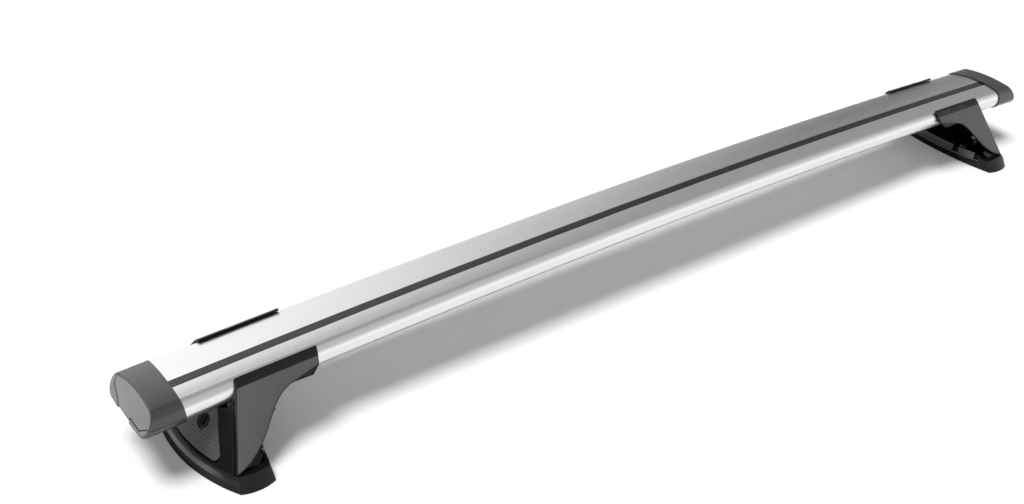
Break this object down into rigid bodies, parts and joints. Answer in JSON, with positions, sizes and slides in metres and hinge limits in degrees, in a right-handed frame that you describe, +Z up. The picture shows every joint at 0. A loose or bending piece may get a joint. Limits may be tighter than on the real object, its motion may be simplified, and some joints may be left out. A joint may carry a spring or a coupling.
{
  "type": "roof rack crossbar",
  "caption": "Arched aluminium wing crossbar for a vehicle roof, with an accessory slot, hinged end caps and two clamped locking feet on rubber pads.",
  "frame": {"origin": "on the surface that the feet stand on, midway between the feet and on the bar's centre line", "axes": "+X along the bar, -Y towards the bar's blunt leading edge, +Z up"},
  "size_m": [1.177, 0.182, 0.089],
  "materials": {
    "bar_aluminium": "satin anodised, with fine lines along the bar",
    "strip_rubber": "matt moulded rubber",
    "cap_plastic": "fine grained moulding",
    "foot_plastic": "fine grained moulding",
    "cover_plastic": "fine grained moulding",
    "lock_metal": "satin",
    "plate_steel": "satin zinc grey",
    "pad_rubber": "matt moulded rubber",
    "steel": "zinc plated"
  },
  "bodies": {
    "bar": {"crossbar_extrusion": "bar_aluminium", "slot_infill_strip": "strip_rubber", "left_cap_base": "cap_plastic", "left_cap_pin": "steel", "left_cap_screws": "steel", "right_cap_base": "cap_plastic", "right_cap_pin": "steel", "right_cap_screws": "steel"},
    "left_flap": {"left_cap_flap": "cap_plastic"},
    "left_foot": {"left_foot_body": "foot_plastic", "left_front_wing": "foot_plastic", "left_rear_wing": "foot_plastic", "left_base_plate": "plate_steel", "left_base_pad": "pad_rubber", "left_clamp_bolt": "steel", "left_clamp_washer": "steel", "left_channel_nut": "steel", "left_wing_screws": "steel", "left_base_screws": "steel"},
    "left_cover": {"left_outer_cover": "cover_plastic"},
    "left_lock": {"left_lock_barrel": "lock_metal"},
    "right_flap": {"right_cap_flap": "cap_plastic"},
    "right_foot": {"right_foot_body": "foot_plastic", "right_front_wing": "foot_plastic", "right_rear_wing": "foot_plastic", "right_base_plate": "plate_steel", "right_base_pad": "pad_rubber", "right_clamp_bolt": "steel", "right_clamp_washer": "steel", "right_channel_nut": "steel", "right_wing_screws": "steel", "right_base_screws": "steel"},
    "right_cover": {"right_outer_cover": "cover_plastic"},
    "right_lock": {"right_lock_barrel": "lock_metal"}
  },
  "joints": [
    {"name": "left_flap_hinge", "type": "hinge", "parent": "bar", "child": "left_flap", "pos_m": [-0.58501, 0, 0.05208], "axis": [0, -1, 0], "range_deg": [0, 75]},
    {"name": "left_foot_slide", "type": "slide", "parent": "bar", "child": "left_foot", "axis": [0.9993, 0, 0.0367], "range_m": [-0.02, 0.03]},
    {"name": "left_cover_pull", "type": "slide", "parent": "left_foot", "child": "left_cover", "axis": [-1, 0, 0], "range_m": [0, 0.025]},
    {"name": "left_lock_turn", "type": "hinge", "parent": "left_cover", "child": "left_lock", "pos_m": [-0.52869, -0.0225, 0.036], "axis": [0.8126, 0, -0.5828], "range_deg": [0, 90]},
    {"name": "right_flap_hinge", "type": "hinge", "parent": "bar", "child": "right_flap", "pos_m": [0.58501, 0, 0.05208], "axis": [0, 1, 0], "range_deg": [0, 75]},
    {"name": "right_foot_slide", "type": "slide", "parent": "bar", "child": "right_foot", "axis": [-0.9993, 0, 0.0367], "range_m": [-0.02, 0.03]},
    {"name": "right_cover_pull", "type": "slide", "parent": "right_foot", "child": "right_cover", "axis": [1, 0, 0], "range_m": [0, 0.025]},
    {"name": "right_lock_turn", "type": "hinge", "parent": "right_cover", "child": "right_lock", "pos_m": [0.52869, -0.0225, 0.036], "axis": [0.8126, 0, 0.5828], "range_deg": [0, 90]}
  ]
}
